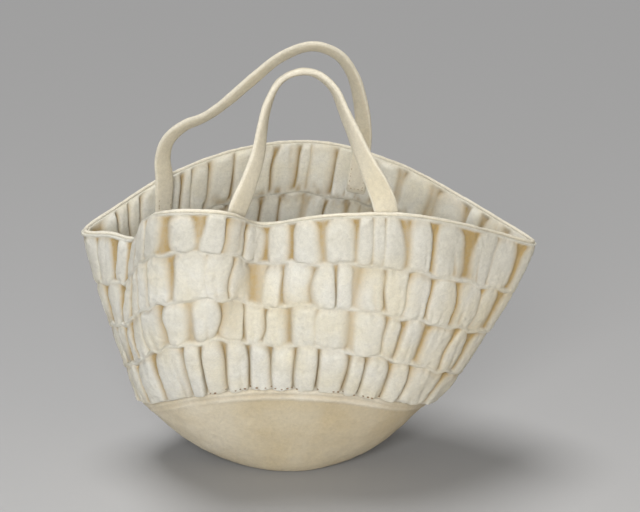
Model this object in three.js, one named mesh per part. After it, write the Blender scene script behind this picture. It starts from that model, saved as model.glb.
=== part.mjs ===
// Felt hand bag: a dished felt base, four gathered felt bands, a bound rim and two strap handles.
// Millimetres, +Z up. +X is the right side of the bag and -Y its front, as it stands facing the viewer.
// The origin is the middle of the flat patch that the base rests on.
import * as THREE from "three";

// Felt and sewing
const FELT = 3; // one layer of felt
const GAP = 0.4; // clear line left where two pieces are sewn together
const PLEAT_IN = 2.8; // height of the backs of the pleats on the inside
const PLEAT_BACK = 0.3; // share of the inside height that is left behind an outside pleat
const PLEAT_ENDS = [0, 0.13, 0.87, 1]; // where a pleat rises from one row seam and falls to the next

// Flat patch that the base stands on, and how the base rises from it
const PATCH = { halfWidth: 46, halfDepth: 38 };
const BASE_TURN = 0.42; // share of the way to the seam that stays low
const BASE_RINGS = [0.35, 0.7];
const BASE_COLUMNS = 44;
const WELT = { height: 1.6, from: 0.9, top: 0.95 }; // turned edge of the base, just below the seam

// Seam between base and wall, an oval that lies low at the sides and high at front and back
const SEAM = { shift: -6.5, halfWidth: 121.5, halfDepth: 80, sideHeight: 42, frontHeight: 89 };

// Heights of the row seams between the bands, as shares of the wall, and how they ride up at the bulge
const ROWS = [0, 0.255, 0.485, 0.72];
const ROW_LIFT = { height: 0.09, station: 12.5, spread: 3 };

// The wall, anticlockwise from the right corner: angle of the place on the seam, the rim above it
// and how far the wall bellies out half way up
const BELLY_CENTRE = 8; // x that the belly swells away from
const STATIONS = [
  // place, seam degrees, rim x, rim y, rim z, belly
  ["right_corner", 0, 217, 0, 205, 12],
  ["back_right_corner", 20, 189, 34, 217, 11],
  ["back_right", 40, 153, 68, 232, 11],
  ["back_right_middle", 60, 103, 96, 253, 10],
  ["back_middle", 85, 28, 112, 271, 10],
  ["back_left_middle", 110, -47, 105, 266, 10],
  ["back_left", 140, -115, 70, 247, 10],
  ["back_left_corner", 162, -155, 30, 229, 7],
  ["left_corner", 180, -180, 0, 215, 4],
  ["left_front", 193, -153, -26, 219, 8],
  ["fold_valley", 205, -130, -44, 219, 14],
  ["fold_edge", 220, -110, -97, 252, 13],
  ["bulge_left", 232, -88, -121, 263, 13],
  ["bulge_right", 248, -48, -122, 262, 12],
  ["dip", 260, -20, -92, 245, 10],
  ["front_middle", 285, 36, -112, 257, 12],
  ["front_right_middle", 305, 93, -104, 256, 12],
  ["front_right", 322, 136, -78, 243, 14],
  ["front_right_corner", 340, 177, -40, 224, 14],
].map(([place, seamDegrees, rimX, rimY, rimZ, belly]) => (
  { place, seamDegrees, rim: new THREE.Vector3(rimX, rimY, rimZ), belly }
));
const LEFT_CORNER = STATIONS.findIndex((station) => station.place === "left_corner") / STATIONS.length;

// Pleats: width along the wall, height as a share of a full pleat, and the places across the pleat,
// as shares of its width, that stand at that height
const PLEATS = {
  w: { width: 30, height: 1, shoulders: [0.18, 0.5, 0.82] }, // wide puff
  b: { width: 24, height: 1, shoulders: [0.2, 0.5, 0.8] }, // broad puff
  m: { width: 18, height: 0.95, shoulders: [0.22, 0.78] }, // middling puff
  n: { width: 13, height: 0.85, shoulders: [0.25, 0.75] }, // narrow puff
  d: { width: 20, height: 0.4, shoulders: [0.25, 0.75] }, // broad dent
  s: { width: 8, height: 0.25, shoulders: [0.5] }, // sunk strip
};

// Bands from the base up: height of a full pleat on the outside, and the pleats charted a letter
// each, the back from the right corner to the left corner and then the front from left to right
const BANDS = [
  { name: "band_bottom", pleatOut: 8, back: "bwmbnbbmwbnbmbwb", front: "bwbwnmmmbbbnbbwwn" },
  { name: "band_lower", pleatOut: 6, back: "wbmsbmbdmbwsmbnbsbmwm", front: "wbdmwbsbmmmbbsbmsmswbw" },
  { name: "band_upper", pleatOut: 5, back: "bwmsbbnmwbsmbdmbwnsbmwb", front: "sbmsbwbbbwbbbmnsmmbwwwm" },
  {
    name: "band_top",
    pleatOut: 4.4,
    back: "bmnbsmbnmsbwmnmbsmdbmnbmsmb",
    front: "bmsmbbbmdmsmmnsbmdmnnnsbwdmwb",
  },
];

// Rim binding, a narrow strip of felt
const BINDING = { halfWidth: 2.3, halfHeight: 2 };

// Handles: flat straps whose ends lie against the inside of the top band. Feet are places on the
// wall counted in stations, and slack is the room between a sewn end and the pleats behind it.
// The arch gives the strap's middle and how far its flat is turned out of the wall's plane, in degrees.
const STRAP = { width: 17.5, thickness: 4.5, sections: 24 };
const FOOT_DEPTHS = [0.77, 0.85, 0.93, 1];
const HANDLES = [
  {
    name: "handle_front",
    leftFoot: 13.5,
    rightFoot: 15.82,
    slack: 0.4,
    arch: [
      // x, y, z, turn
      [-31, -97, 276, 8],
      [-23, -91, 299, 20],
      [-19, -86, 321, 38],
      [-14, -80, 342, 60],
      [-4, -75, 359, 82],
      [12, -73, 366, 90],
      [26, -74, 364, 90],
      [39, -77, 353, 76],
      [47, -81, 336, 56],
      [56, -86, 316, 36],
      [67, -92, 292, 18],
      [77, -97, 271, 6],
    ],
  },
  {
    name: "handle_back",
    leftFoot: 6,
    rightFoot: 3.48,
    slack: 1.2,
    arch: [
      // x, y, z, turn
      [-112, 62, 266, 4],
      [-106, 59, 283, 14],
      [-93, 57, 296, 30],
      [-75, 55, 305, 42],
      [-53, 54, 321, 46],
      [-31, 54, 340, 52],
      [-5, 55, 359, 66],
      [20, 57, 366, 76],
      [41, 62, 358, 72],
      [55, 69, 339, 55],
      [62, 77, 315, 35],
      [66, 86, 289, 14],
    ],
  },
];

// Colours and finish
const WOOL = { pleated: 0xece5d0, plain: 0xdcd2b6, binding: 0xf1ecdc, strap: 0xe9e0c6, roughness: 0.95 };

const { lerp, degToRad } = THREE.MathUtils;

// Closed curves through the stations along the seam, half way up and along the rim
function seamPoint(degrees) {
  const angle = degToRad(degrees);
  return new THREE.Vector3(
    SEAM.shift + SEAM.halfWidth * Math.cos(angle),
    SEAM.halfDepth * Math.sin(angle),
    lerp(SEAM.sideHeight, SEAM.frontHeight, Math.sin(angle) ** 2),
  );
}

function bellyPoint(station) {
  const middle = seamPoint(station.seamDegrees).lerp(station.rim, 0.5);
  const outward = new THREE.Vector3(middle.x - BELLY_CENTRE, middle.y, 0).normalize();
  return middle.addScaledVector(outward, station.belly);
}

function closedCurve(points) {
  return new THREE.CatmullRomCurve3(points, true, "centripetal");
}

const seamCurve = closedCurve(STATIONS.map((station) => seamPoint(station.seamDegrees)));
const bellyCurve = closedCurve(STATIONS.map(bellyPoint));
const rimCurve = closedCurve(STATIONS.map((station) => station.rim));

// Middle of the wall's felt at u round the bag and v up from the seam (0) to the rim (1)
function wallPoint(u, v) {
  return seamCurve.getPoint(u).multiplyScalar((1 - v) * (1 - 2 * v))
    .addScaledVector(bellyCurve.getPoint(u), 4 * v * (1 - v))
    .addScaledVector(rimCurve.getPoint(u), v * (2 * v - 1));
}

const STEP = 0.002; // step for measuring slopes on the wall

function wallAlong(u, v) {
  return wallPoint((u + STEP) % 1, v).sub(wallPoint((u - STEP + 1) % 1, v)).normalize();
}

function wallUp(u, v) {
  return wallPoint(u, v + STEP).sub(wallPoint(u, v - STEP)).normalize();
}

function wallOut(u, v) {
  return wallAlong(u, v).cross(wallUp(u, v)).normalize();
}

// Height of row seam number row at u. The last one leaves room for the binding below the rim.
function rowHeight(row, u) {
  if (row === 0) return 0;
  if (row === BANDS.length) {
    const wallPerShare = wallPoint(u, 1).distanceTo(wallPoint(u, 1 - STEP)) / STEP;
    return 1 - (2 * BINDING.halfHeight + GAP) / wallPerShare;
  }
  const away = (u * STATIONS.length - ROW_LIFT.station) / ROW_LIFT.spread;
  return ROWS[row] + ROW_LIFT.height * Math.exp(-away * away);
}

// A closed skin over a row of loops of points. The loops join up in a ring, or the two end loops are
// closed by fans about their centres.
function skin(loops, isRing) {
  const size = loops[0].length;
  const corners = loops.flat();
  const faces = [];
  const vertex = (i, k) => (i % loops.length) * size + (k % size);
  const spans = isRing ? loops.length : loops.length - 1;
  for (let i = 0; i < spans; i += 1) {
    for (let k = 0; k < size; k += 1) {
      faces.push(vertex(i, k), vertex(i + 1, k), vertex(i + 1, k + 1));
      faces.push(vertex(i, k), vertex(i + 1, k + 1), vertex(i, k + 1));
    }
  }
  if (!isRing) {
    const ends = [0, loops.length - 1];
    for (const end of ends) {
      const centre = loops[end].reduce((sum, p) => sum.add(p), new THREE.Vector3()).divideScalar(size);
      corners.push(centre);
      for (let k = 0; k < size; k += 1) {
        const edge = [vertex(end, k), vertex(end, k + 1)];
        faces.push(corners.length - 1, ...(end === 0 ? edge : edge.reverse()));
      }
    }
  }
  const geometry = new THREE.BufferGeometry().setFromPoints(corners);
  geometry.setIndex(faces);
  geometry.computeVertexNormals();
  return geometry;
}

function piece(name, geometry, color) {
  const material = new THREE.MeshStandardMaterial({ color, roughness: WOOL.roughness, metalness: 0 });
  const mesh = new THREE.Mesh(geometry, material);
  mesh.name = name;
  return mesh;
}

// Base: the middle of the felt runs from the patch out and up to the seam
function basePoint(u, rho) {
  const edge = seamCurve.getPoint(u);
  const angle = Math.atan2(edge.y / SEAM.halfDepth, (edge.x - SEAM.shift) / SEAM.halfWidth);
  const patch = new THREE.Vector3(
    PATCH.halfWidth * Math.cos(angle),
    PATCH.halfDepth * Math.sin(angle),
    FELT / 2,
  );
  const turn = patch.clone().lerp(edge, BASE_TURN).setZ(FELT / 2);
  return new THREE.QuadraticBezierCurve3(patch, turn, edge).getPoint(rho);
}

function baseOut(u, rho) {
  const low = Math.max(rho - STEP, 0);
  const along = basePoint((u + STEP) % 1, rho).sub(basePoint((u - STEP + 1) % 1, rho));
  const up = basePoint(u, low + STEP).sub(basePoint(u, low));
  return along.cross(up).normalize();
}

function makeBase() {
  const columns = Array.from({ length: BASE_COLUMNS }, (_, i) => i / BASE_COLUMNS);
  const ring = (rho, side, swell = 0) => columns.map((u) => (
    basePoint(u, rho).addScaledVector(baseOut(u, rho), side * (FELT / 2) + swell)
  ));
  const edge = (side) => columns.map((u) => (
    wallPoint(u, 0).addScaledVector(wallUp(u, 0), -GAP).addScaledVector(wallOut(u, 0), side * (FELT / 2))
  ));
  const inside = [0, ...BASE_RINGS].map((rho) => ring(rho, -1));
  const outside = [0, ...BASE_RINGS].map((rho) => ring(rho, 1)).reverse();
  const welt = [ring(WELT.top, 1, WELT.height), ring(WELT.from, 1)];
  return skin([...inside, edge(-1), edge(1), ...welt, ...outside], false);
}

// Gathered band: columns at every slit and pleat shoulder, closed round the bag
class BandLine extends THREE.Curve {
  constructor(band, start, end) {
    super();
    Object.assign(this, { band, start, end });
  }

  getU(t) {
    return lerp(this.start, this.end, t);
  }

  getPoint(t) {
    const u = this.getU(t) % 1;
    return wallPoint(u, (rowHeight(this.band, u) + rowHeight(this.band + 1, u)) / 2);
  }
}

function pleatColumns(band, chart, start, end) {
  const line = new BandLine(band, start, end);
  const pleats = [...chart].map((letter) => PLEATS[letter]);
  const whole = pleats.reduce((sum, pleat) => sum + pleat.width, 0);
  const uAt = (distance) => line.getU(line.getUtoTmapping(distance / whole));
  const columns = [];
  let begin = 0;
  for (const { width, height, shoulders } of pleats) {
    columns.push({ u: uAt(begin), outside: 0, inside: height });
    for (const share of shoulders) {
      columns.push({ u: uAt(begin + share * width), outside: height, inside: PLEAT_BACK * height });
    }
    begin += width;
  }
  return columns;
}

function bandColumns(band) {
  const { back, front } = BANDS[band];
  return [...pleatColumns(band, back, 0, LEFT_CORNER), ...pleatColumns(band, front, LEFT_CORNER, 1)];
}

function makeBand(band) {
  const loops = bandColumns(band).map(({ u, outside, inside }) => {
    const low = rowHeight(band, u);
    const high = rowHeight(band + 1, u);
    const trim = GAP / 2 / wallPoint(u, low).distanceTo(wallPoint(u, high));
    const point = (share, side) => {
      const v = lerp(low, high, lerp(trim, 1 - trim, share));
      const isEdge = share === 0 || share === 1;
      const pleat = side > 0 ? outside * BANDS[band].pleatOut : inside * PLEAT_IN;
      return wallPoint(u, v).addScaledVector(wallOut(u, v), side * (FELT / 2 + (isEdge ? 0 : pleat)));
    };
    const outer = PLEAT_ENDS.map((share) => point(share, 1));
    const inner = PLEAT_ENDS.map((share) => point(share, -1)).reverse();
    return [...outer, ...inner];
  });
  return skin(loops, true);
}

// Rim binding: a strip that sits on the top band's edge
function makeBinding() {
  const columns = bandColumns(BANDS.length - 1).filter((_, i) => i % 2 === 0);
  const corners = [[1, -1], [1, 1], [-1, 1], [-1, -1]];
  const loops = columns.map(({ u }) => {
    const up = wallUp(u, 1);
    const out = wallOut(u, 1);
    const centre = wallPoint(u, 1).addScaledVector(up, -BINDING.halfHeight);
    return corners.map(([x, y]) => (
      centre.clone().addScaledVector(out, x * BINDING.halfWidth).addScaledVector(up, y * BINDING.halfHeight)
    ));
  });
  return skin(loops, true);
}

// Strap handle: a flat section carried up from one foot, over the arch and down to the other foot
function footPoints(u, slack) {
  const inset = FELT / 2 + PLEAT_IN + slack + STRAP.thickness / 2;
  return FOOT_DEPTHS.map((v) => wallPoint(u, v).addScaledVector(wallOut(u, v), -inset));
}

function strapOutline() {
  const chamfer = STRAP.thickness / 3;
  const across = STRAP.width / 2;
  const through = STRAP.thickness / 2;
  const corner = [[across, through - chamfer], [across - chamfer, through]];
  const right = [[across, chamfer - through], corner[0]];
  const top = [corner[1], [chamfer - across, through]];
  return [...right, ...top, ...[...right, ...top].map(([x, y]) => [-x, -y])];
}

function makeHandle({ leftFoot, rightFoot, slack, arch }) {
  const feet = [leftFoot, rightFoot].map((foot) => foot / STATIONS.length);
  const left = footPoints(feet[0], slack);
  const right = footPoints(feet[1], slack).reverse();
  const middle = arch.map(([x, y, z]) => new THREE.Vector3(x, y, z));
  const path = new THREE.CatmullRomCurve3([...left, ...middle, ...right], false, "centripetal");
  const turns = [...left.map(() => 0), ...arch.map((row) => row[3]), ...right.map(() => 0)];
  const facings = feet.map((u) => wallOut(u, 1));
  const loops = Array.from({ length: STRAP.sections + 1 }, (_, i) => {
    const t = path.getUtoTmapping(i / STRAP.sections);
    const place = t * (turns.length - 1);
    const before = Math.min(Math.floor(place), turns.length - 2);
    const turn = degToRad(lerp(turns[before], turns[before + 1], place - before));
    const along = path.getTangent(t);
    const facing = facings[0].clone().lerp(facings[1], t);
    const flat = facing.cross(along).normalize();
    const wide = flat.applyAxisAngle(along, turn);
    const thick = wide.clone().cross(along);
    const centre = path.getPoint(t);
    return strapOutline().map(([x, y]) => (
      centre.clone().addScaledVector(wide, x).addScaledVector(thick, y)
    ));
  });
  return skin(loops, false);
}

const bag = new THREE.Group();
bag.add(piece("base", makeBase(), WOOL.plain));
BANDS.forEach(({ name }, band) => bag.add(piece(name, makeBand(band), WOOL.pleated)));
bag.add(piece("rim_binding", makeBinding(), WOOL.binding));
HANDLES.forEach((handle) => bag.add(piece(handle.name, makeHandle(handle), WOOL.strap)));

export default bag;
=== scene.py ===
import math

import bpy
import numpy as np
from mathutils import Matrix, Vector


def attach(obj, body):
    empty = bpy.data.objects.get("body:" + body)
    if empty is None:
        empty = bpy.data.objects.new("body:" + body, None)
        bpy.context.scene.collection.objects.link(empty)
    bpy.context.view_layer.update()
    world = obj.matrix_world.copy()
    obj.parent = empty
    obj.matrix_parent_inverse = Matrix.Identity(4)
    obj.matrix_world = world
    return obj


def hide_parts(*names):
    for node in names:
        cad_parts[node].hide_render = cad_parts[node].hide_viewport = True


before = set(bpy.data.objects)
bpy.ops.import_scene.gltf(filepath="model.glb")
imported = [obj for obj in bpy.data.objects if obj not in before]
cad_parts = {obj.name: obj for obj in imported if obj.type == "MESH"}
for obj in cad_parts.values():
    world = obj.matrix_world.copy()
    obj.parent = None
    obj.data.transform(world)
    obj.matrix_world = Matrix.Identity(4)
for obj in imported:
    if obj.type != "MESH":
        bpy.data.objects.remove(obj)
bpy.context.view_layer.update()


# Base: one piece of thick cream wool felt, wetted and pressed into a shallow dish that stands on a
# flat patch. Its edge is turned out into a narrow welt with two ridges, and sewn to the bottom band.

FELT = 3.0  # millimetres, as are all the sizes of the bag below
PATCH = (46.0, 38.0)  # half width and half depth of the flat patch
BASE_TURN = 0.42  # share of the way to the seam that stays low
SEAM_SHIFT, SEAM_HALF_WIDTH, SEAM_HALF_DEPTH = -6.5, 121.5, 80.0
SEAM_SIDE_HEIGHT, SEAM_FRONT_HEIGHT = 42.0, 89.0
BELLY_CENTRE = 8.0  # x that the wall swells away from
FRONT_SEAM_SHARE, SIDE_SEAM_SHARE = 0.057, 0.09  # how far up the wall the base's edge is sewn

STATIONS = (
    # place, seam degrees, rim x, rim y, rim z, belly
    ("right_corner", 0, 217, 0, 205, 12),
    ("back_right_corner", 20, 189, 34, 217, 11),
    ("back_right", 40, 153, 68, 232, 11),
    ("back_right_middle", 60, 103, 96, 253, 10),
    ("back_middle", 85, 28, 112, 271, 10),
    ("back_left_middle", 110, -47, 105, 266, 10),
    ("back_left", 140, -115, 70, 247, 10),
    ("back_left_corner", 162, -155, 30, 229, 7),
    ("left_corner", 180, -180, 0, 215, 4),
    ("left_front", 193, -153, -26, 219, 8),
    ("fold_valley", 205, -130, -44, 219, 14),
    ("fold_edge", 220, -110, -97, 252, 13),
    ("bulge_left", 232, -88, -121, 263, 13),
    ("bulge_right", 248, -48, -122, 262, 12),
    ("dip", 260, -20, -92, 245, 10),
    ("front_middle", 285, 36, -112, 257, 12),
    ("front_right_middle", 305, 93, -104, 256, 12),
    ("front_right", 322, 136, -78, 243, 14),
    ("front_right_corner", 340, 177, -40, 224, 14),
)
STATION_COUNT = len(STATIONS)


def spline(points, closed):
    """A smooth curve through the points, as a function of a share from 0 to 1 of its spans."""
    points = np.asarray(points, float)
    if not closed:
        points = np.vstack((2 * points[0] - points[1], points, 2 * points[-1] - points[-2]))
    spans = len(points) if closed else len(points) - 3

    def at(share):
        place = np.asarray(share, float) % 1 * spans if closed else np.clip(share, 0, 1) * spans
        first = np.floor(place).astype(int)
        if not closed:
            first = np.minimum(first, spans - 1)
        t = (place - first)[..., None]
        lead = -1 if closed else 0
        p0, p1, p2, p3 = (points[(first + lead + k) % len(points)] for k in range(4))
        d0, d1, d2 = (
            np.sqrt(np.linalg.norm(b - a, axis=-1, keepdims=True)) for a, b in ((p0, p1), (p1, p2), (p2, p3))
        )
        m1 = ((p1 - p0) / d0 - (p2 - p0) / (d0 + d1) + (p2 - p1) / d1) * d1
        m2 = ((p2 - p1) / d1 - (p3 - p1) / (d1 + d2) + (p3 - p2) / d2) * d1
        return p1 + t * (m1 + t * ((3 * (p2 - p1) - 2 * m1 - m2) + t * (2 * (p1 - p2) + m1 + m2)))

    return at


def seam_point(degrees):
    angle = np.radians(degrees)
    rise = np.sin(angle) ** 2
    return np.array((
        SEAM_SHIFT + SEAM_HALF_WIDTH * np.cos(angle),
        SEAM_HALF_DEPTH * np.sin(angle),
        SEAM_SIDE_HEIGHT + (SEAM_FRONT_HEIGHT - SEAM_SIDE_HEIGHT) * rise,
    ))


seam_points = np.array([seam_point(station[1]) for station in STATIONS])
rim_points = np.array([station[2:5] for station in STATIONS], float)
middles = (seam_points + rim_points) / 2
outward = (middles - (BELLY_CENTRE, 0, 0)) * (1, 1, 0)
outward /= np.linalg.norm(outward, axis=1, keepdims=True)
belly_points = middles + outward * np.array([[station[5]] for station in STATIONS])
seam_curve, belly_curve, rim_curve = (
    spline(points, True) for points in (seam_points, belly_points, rim_points)
)


def wall(u, v):
    """Middle of the wall's felt at u round the bag and v up from the seam (0) to the rim (1)."""
    u, v = np.broadcast_arrays(np.asarray(u, float), np.asarray(v, float))
    v = v[..., None]
    low, high = seam_curve(u) * (1 - v) * (1 - 2 * v), rim_curve(u) * v * (2 * v - 1)
    return low + belly_curve(u) * 4 * v * (1 - v) + high


def seam_share(u):
    """Share of the way up the wall where the base is sewn to the bottom band."""
    aside = (seam_curve(u)[..., 0] - SEAM_SHIFT) / SEAM_HALF_WIDTH
    return FRONT_SEAM_SHARE + (SIDE_SEAM_SHARE - FRONT_SEAM_SHARE) * aside**2


STEP = 0.002  # share of the wall that its directions are measured over


def unit(vectors):
    return vectors / np.linalg.norm(vectors, axis=-1, keepdims=True)


def wall_along(u, v):
    return unit(wall(u + STEP, v) - wall(u - STEP, v))


def wall_up(u, v):
    return unit(wall(u, v + STEP) - wall(u, v - STEP))


def wall_out(u, v):
    return unit(np.cross(wall_along(u, v), wall_up(u, v)))


def ramp(values, start, length):
    """0 up to the start, 1 from a length further on, and straight between."""
    return np.clip((values - start) / length, 0, 1)


def bell(values, width):
    """1 at zero, falling smoothly away within about that width on both sides."""
    return np.exp(-((values / width) ** 2))


def lumps(points, size, seed):
    """Smooth lumps of about that size in the felt, from -1 to 1 and the same on every run."""
    cell = points / size
    low = np.floor(cell).astype(np.int64)
    part = cell - low
    part = part * part * (3 - 2 * part)
    total = np.zeros(points.shape[:-1])
    for corner in np.ndindex(2, 2, 2):
        x, y, z = np.moveaxis(low + corner, -1, 0)
        # The large numbers only shuffle the corners, so that each has a height of its own.
        mixed = (x * 73856093) ^ (y * 19349663) ^ (z * 83492791) ^ (seed * 2654435761)
        mixed = (mixed ^ (mixed >> 13)) * 1274126177 & 0x7FFFFFFF
        value = (mixed ^ (mixed >> 16)) % 4096 / 2047.5 - 1
        total += value * np.prod(np.where(corner, part, 1 - part), axis=-1)
    return total


def lumpy(points, kinds):
    """Lumps of several kinds added up, each kind given by its depth, size and seed."""
    return sum(depth * lumps(points, size, seed) for depth, size, seed in kinds)


def ring_faces(rows, columns, closed_rows):
    """Quads of a skin whose columns go round the bag and whose rows go up it, facing outwards."""
    row, column = np.indices((rows if closed_rows else rows - 1, columns))
    next_row, next_column = (row + 1) % rows, (column + 1) % columns
    corners = (row, column), (row, next_column), (next_row, next_column), (next_row, column)
    return np.stack([r * columns + c for r, c in corners], axis=-1).reshape(-1, 4).tolist()


def felt_piece(name, points, faces, material, hollow_shade, painted_light_and_wear, cut_edges=()):
    """A piece of the bag from points in millimetres, with how much painted shade and how much painted light
    and wear each place gets.

    The faces in cut_edges are the cut edges of the felt, which stay crisp.
    """
    mesh = bpy.data.meshes.new(name)
    mesh.from_pydata((np.asarray(points).reshape(-1, 3) / 1000).tolist(), [], faces)
    for label, values in (("hollow_shade", hollow_shade), ("painted_light_and_wear", painted_light_and_wear)):
        kept = mesh.attributes.new(label, "FLOAT", "POINT")
        kept.data.foreach_set("value", np.ascontiguousarray(np.ravel(values), dtype=np.float32))
    smooth = np.ones(len(mesh.polygons), bool)
    smooth[list(cut_edges)] = False
    mesh.polygons.foreach_set("use_smooth", smooth)
    mesh.materials.append(material)
    piece = bpy.data.objects.new(name, mesh)
    bpy.context.collection.objects.link(piece)
    return piece


def set_inputs(tree, node, inputs):
    """Give a node's inputs their values, or join them to other nodes' outputs."""
    for key, value in inputs.items():
        if isinstance(value, bpy.types.NodeSocket):
            tree.links.new(value, node.inputs[key])
        else:
            node.inputs[key].default_value = value


def add_node(tree, kind, inputs=None, **settings):
    node = tree.nodes.new(kind)
    for key, value in settings.items():
        setattr(node, key, value)
    set_inputs(tree, node, inputs or {})
    return node


CLOUD_SCALE, CLUMP_SCALE, FIBRE_SCALE = 24, 300, 1100  # how many go to a metre of felt
MATTING = 0.7  # how much the clumps stand up beside the fibres


def felt_texture():
    """Wool felt: cloudy patches, clumps and matted fibres, with painted shade in the folds and a second wool
    colour for painted highlights, painted shade and wear.
    """
    group = bpy.data.node_groups.new("wool felt", "ShaderNodeTree")
    for name, kind, value in (
        ("Wool", "NodeSocketColor", (0.8, 0.76, 0.64, 1)),
        ("Patch Wool", "NodeSocketColor", (0.75, 0.7, 0.5, 1)),
        ("Painted Fold Shade", "NodeSocketColor", (0.3, 0.2, 0.1, 1)),
        ("Painted Light And Wear Wool", "NodeSocketColor", (0.93, 0.9, 0.82, 1)),
        ("Hollow_Shade", "NodeSocketFloat", 0.0),
        ("Painted_Light_And_Wear", "NodeSocketFloat", 0.0),
        ("Patchiness", "NodeSocketFloat", 0.5),
    ):
        group.interface.new_socket(name, in_out="INPUT", socket_type=kind).default_value = value
    group.interface.new_socket("Color", in_out="OUTPUT", socket_type="NodeSocketColor")
    group.interface.new_socket("Height", in_out="OUTPUT", socket_type="NodeSocketFloat")
    given = add_node(group, "NodeGroupInput").outputs
    place = add_node(group, "ShaderNodeTexCoord").outputs["Object"]

    def noise(scale, detail, roughness, distortion):
        inputs = {"Vector": place, "Scale": scale, "Detail": detail}
        inputs.update({"Roughness": roughness, "Distortion": distortion})
        return add_node(group, "ShaderNodeTexNoise", inputs).outputs["Fac"]

    def spread(source, low, high, to_low, to_high):
        inputs = {"Value": source, "From Min": low, "From Max": high, "To Min": to_low, "To Max": to_high}
        return add_node(group, "ShaderNodeMapRange", inputs).outputs["Result"]

    def times(first, second, clamped=True):
        inputs = {0: first, 1: second}
        node = add_node(group, "ShaderNodeMath", inputs, operation="MULTIPLY", use_clamp=clamped)
        return node.outputs["Value"]

    def mixed(share, first, second):
        inputs = {"Factor": share, "A": first, "B": second}
        return add_node(group, "ShaderNodeMix", inputs, data_type="RGBA").outputs["Result"]

    clouds = spread(noise(CLOUD_SCALE, 3, 0.55, 0.3), 0.38, 0.66, 0, 1)
    clumps = noise(CLUMP_SCALE, 5, 0.7, 0.6)
    fibres = noise(FIBRE_SCALE, 3, 0.7, 2.5)
    colour = mixed(times(clouds, given["Patchiness"]), given["Wool"], given["Patch Wool"])
    # Painted shade: the fold shade colour is mixed in the deeper a place lies in a fold.
    folded = times(given["Hollow_Shade"], spread(clumps, 0.3, 0.7, 0.8, 1.15))
    colour = mixed(folded, colour, given["Painted Fold Shade"])
    # The second wool colour: painted highlights and painted light that make places paler, greyer painted
    # shade near the rim, and paler sewn strap ends.
    light_and_wear_share = times(given["Painted_Light_And_Wear"], spread(clouds, 0, 1, 0.6, 1))
    colour = mixed(light_and_wear_share, colour, given["Painted Light And Wear Wool"])
    tone = times(spread(clumps, 0.3, 0.7, 0.86, 1.06), spread(fibres, 0.3, 0.7, 0.92, 1.05), clamped=False)
    toned = add_node(group, "ShaderNodeHueSaturation", {"Color": colour, "Value": tone})
    matted = add_node(
        group, "ShaderNodeMath", {0: clumps, 1: MATTING, 2: times(fibres, fibres)}, operation="MULTIPLY_ADD"
    )
    shown = {"Color": toned.outputs["Color"], "Height": matted.outputs["Value"]}
    add_node(group, "NodeGroupOutput", shown)
    return group


wool_felt = felt_texture()


def felt_material(name, wool, patch_wool, painted_fold_shade, painted_light_and_wear_wool, patchiness, nap):
    """A felt of that wool, with the shared felt texture on it. Nap is how deep its matted fibres lie."""
    material = bpy.data.materials.new(name)
    material.use_nodes = True
    tree = material.node_tree
    colours = {"Wool": wool, "Patch Wool": patch_wool, "Painted Fold Shade": painted_fold_shade, "Painted Light And Wear Wool": painted_light_and_wear_wool}
    inputs = {key: (*colour, 1) for key, colour in colours.items()}
    inputs["Patchiness"] = patchiness
    # Each piece's attributes give its painted shade, and its painted light and wear.
    for key in ("Hollow_Shade", "Painted_Light_And_Wear"):
        inputs[key] = add_node(tree, "ShaderNodeAttribute", attribute_name=key.lower()).outputs["Fac"]
    felt = add_node(tree, "ShaderNodeGroup", node_tree=wool_felt)
    set_inputs(tree, felt, inputs)
    matted = {"Strength": 0.8, "Distance": nap / 1000, "Height": felt.outputs["Height"]}
    bump = add_node(tree, "ShaderNodeBump", matted)
    finish = {
        "Base Color": felt.outputs["Color"],
        "Normal": bump.outputs["Normal"],
        "Roughness": 0.93,
        "Specular IOR Level": 0.22,
        "Sheen Weight": 0.22,
        "Sheen Roughness": 0.55,
        "Sheen Tint": (1, 0.97, 0.9, 1),
    }
    set_inputs(tree, tree.nodes["Principled BSDF"], finish)
    return material


WELT_RIDGES = ((0.978, 1.2), (0.944, 1.2))  # place up the base and height of each ridge
WELT_RIDGE = 0.010  # half width of a ridge, as a share of the way up
WELT_GROOVE, WELT_GROOVE_WIDTH = 0.961, 0.008  # place and half width of the groove between them
WELT_START, WELT_FOLD = 0.92, 0.3  # where the turned edge begins, and how much thicker it is
FRONT_MIDDLE, WELT_REACH = 5.0, 75.0  # x of the front's middle, and how far aside the welt stands up
WELT_AT_SIDES = 0.35  # share of the welt that is left at the sides
SEAM_TUCK = 0.15  # how far below the seam the base's edge ends
BASE_DENTS = ((1.5, 46, 3), (0.7, 17, 4), (0.3, 6, 5))  # depth, size and seed of dents left by pressing
BASE_INSIDE_DENTS = ((0.3, 14, 6),)
GROOVE_SHADE, SEAM_SHADE, INSIDE_SHADE = 0.3, 0.5, 0.12  # painted shade in the groove, at the seam and inside the bag
BASE_RIGHT_SHADE, BASE_RIGHT_SHADE_WIDTH = 0.16, 90.0  # painted shade, darker towards the base's right side, away from the light
BASE_LEFT_LIGHT, BASE_LEFT_LIGHT_START, BASE_LEFT_LIGHT_WIDTH = 0.2, 15.0, 60.0  # painted light, paler towards the base's left side, where the light comes from
WELT_HIGHLIGHT = 0.55  # painted highlight along the welt's ridges
PALE_WOOL = (0.93, 0.9, 0.82)
BASE_COLUMNS, BASE_RINGS, BASE_INSIDE_RINGS = 320, 64, 30
RING_CROWDING = 1.7  # above 1 the rings crowd together towards the welt


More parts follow.
